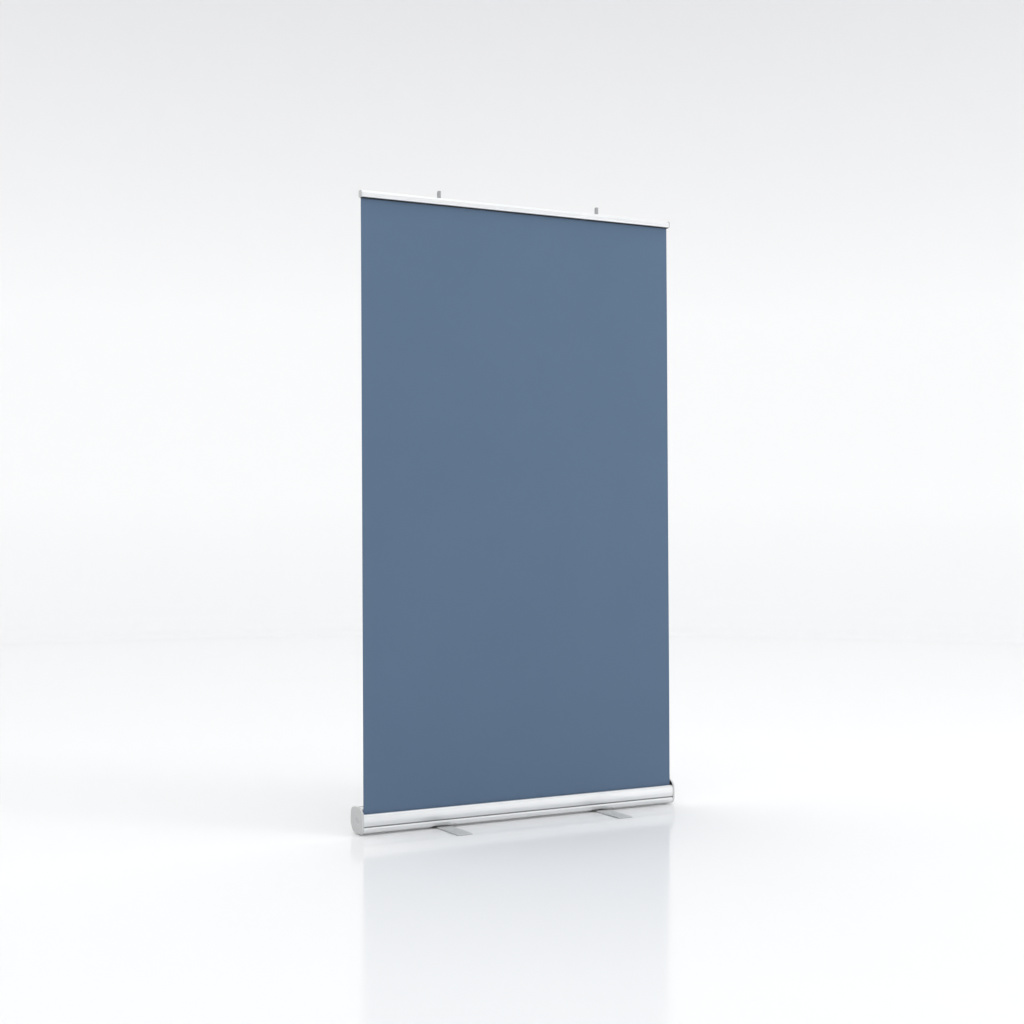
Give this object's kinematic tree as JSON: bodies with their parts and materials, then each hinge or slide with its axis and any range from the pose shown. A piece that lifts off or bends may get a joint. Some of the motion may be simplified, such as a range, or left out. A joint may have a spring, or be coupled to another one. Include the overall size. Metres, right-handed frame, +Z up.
{
  "type": "roll-up banner stand",
  "caption": "Free-standing roll-up banner stand: spring roller cassette on swinging flat feet, printed film, snap rail and telescopic poles.",
  "frame": {"origin": "on the floor, at the middle of the stand's bounding box, midway between the foot pivots", "axes": "+X along the cassette, the printed face looks along -Y, +Z up"},
  "size_m": [1.225, 0.372, 2.112],
  "materials": {
    "anodised_aluminium": "satin anodised",
    "cap_plastic": "fine matte",
    "black_nylon": "moulded matte",
    "grey_nylon": "moulded matte",
    "steel": "zinc plated",
    "foot_steel": "silver powder coat",
    "spring_steel": "oiled",
    "printed_film": "matt printed film",
    "film_back": "matt grey",
    "rubber": "ribbed matte",
    "black_felt": "short pile"
  },
  "bodies": {
    "cassette": {"cassette_body": "anodised_aluminium", "slot_felt": "black_felt", "bearing_plate_left": "black_nylon", "end_cap_left": "cap_plastic", "cap_screw_left": "steel", "plate_screw_left_1": "steel", "plate_screw_left_2": "steel", "plate_screw_left_3": "steel", "bearing_plate_right": "black_nylon", "end_cap_right": "cap_plastic", "cap_screw_right": "steel", "plate_screw_right_1": "steel", "plate_screw_right_2": "steel", "plate_screw_right_3": "steel", "idler_axle": "steel", "spring_arbor": "steel", "arbor_stop": "steel", "torsion_spring": "spring_steel", "banner_film": "printed_film", "pole_socket_left": "black_nylon", "lower_tube_left": "anodised_aluminium", "lower_collet_left": "grey_nylon", "pole_socket_right": "black_nylon", "lower_tube_right": "anodised_aluminium", "lower_collet_right": "grey_nylon", "pivot_bolt_left": "steel", "pivot_block_left": "steel", "pivot_washer_left": "black_nylon", "pivot_bolt_right": "steel", "pivot_block_right": "steel", "pivot_washer_right": "black_nylon"},
    "roller": {"roller_tube": "anodised_aluminium", "roller_plug_left": "black_nylon", "roller_plug_right": "black_nylon", "spring_anchor": "black_nylon", "wound_film": "film_back"},
    "rail": {"rail_back": "anodised_aluminium", "rail_cap_left": "cap_plastic", "rail_cap_right": "cap_plastic", "upper_tube_left": "anodised_aluminium", "upper_tube_right": "anodised_aluminium", "pole_head_left": "grey_nylon", "pole_head_right": "grey_nylon"},
    "jaw": {"rail_jaw": "anodised_aluminium"},
    "middle_left": {"middle_tube_left": "anodised_aluminium", "upper_collet_left": "grey_nylon"},
    "lower_lock_left": {"lower_collar_left": "black_nylon"},
    "upper_lock_left": {"upper_collar_left": "black_nylon"},
    "foot_left": {"foot_bar_left": "foot_steel", "foot_pad_left_front": "rubber", "foot_pad_left_back": "rubber"},
    "middle_right": {"middle_tube_right": "anodised_aluminium", "upper_collet_right": "grey_nylon"},
    "lower_lock_right": {"lower_collar_right": "black_nylon"},
    "upper_lock_right": {"upper_collar_right": "black_nylon"},
    "foot_right": {"foot_bar_right": "foot_steel", "foot_pad_right_front": "rubber", "foot_pad_right_back": "rubber"}
  },
  "joints": [
    {"name": "rail_lift", "type": "slide", "parent": "cassette", "child": "rail", "axis": [0, 0, 1], "range_m": [-1.14, 0], "deforming": ["banner_film"]},
    {"name": "roller_spin", "type": "hinge", "parent": "cassette", "child": "roller", "pos_m": [0, -0.01065, 0.045], "axis": [1, 0, 0], "range_deg": [0, 3343]},
    {"name": "jaw_snap", "type": "hinge", "parent": "rail", "child": "jaw", "pos_m": [0, -0.0162, 2.0819], "axis": [-1, 0, 0], "range_deg": [0, 60]},
    {"name": "middle_slide_left", "type": "slide", "parent": "cassette", "child": "middle_left", "axis": [0, 0, 1], "range_m": [-0.57, 0]},
    {"name": "lower_lock_twist_left", "type": "hinge", "parent": "cassette", "child": "lower_lock_left", "pos_m": [-0.31, 0.005, 0.765], "axis": [0, 0, 1], "range_deg": [0, 90]},
    {"name": "upper_lock_twist_left", "type": "hinge", "parent": "middle_left", "child": "upper_lock_left", "pos_m": [-0.31, 0.005, 1.395], "axis": [0, 0, 1], "range_deg": [0, 90]},
    {"name": "foot_swing_left", "type": "hinge", "parent": "cassette", "child": "foot_left", "pos_m": [-0.31, 0, 0.004], "axis": [0, 0, -1], "range_deg": [0, 90]},
    {"name": "middle_slide_right", "type": "slide", "parent": "cassette", "child": "middle_right", "axis": [0, 0, 1], "range_m": [-0.57, 0]},
    {"name": "lower_lock_twist_right", "type": "hinge", "parent": "cassette", "child": "lower_lock_right", "pos_m": [0.31, 0.005, 0.765], "axis": [0, 0, 1], "range_deg": [0, 90]},
    {"name": "upper_lock_twist_right", "type": "hinge", "parent": "middle_right", "child": "upper_lock_right", "pos_m": [0.31, 0.005, 1.395], "axis": [0, 0, 1], "range_deg": [0, 90]},
    {"name": "foot_swing_right", "type": "hinge", "parent": "cassette", "child": "foot_right", "pos_m": [0.31, 0, 0.004], "axis": [0, 0, 1], "range_deg": [0, 90]}
  ],
  "couplings": [
    {"joint": "roller_spin", "follows": "rail_lift", "rad_per_m": -51.151},
    {"joint": "middle_slide_left", "follows": "rail_lift", "ratio": 0.5},
    {"joint": "middle_slide_right", "follows": "rail_lift", "ratio": 0.5}
  ]
}
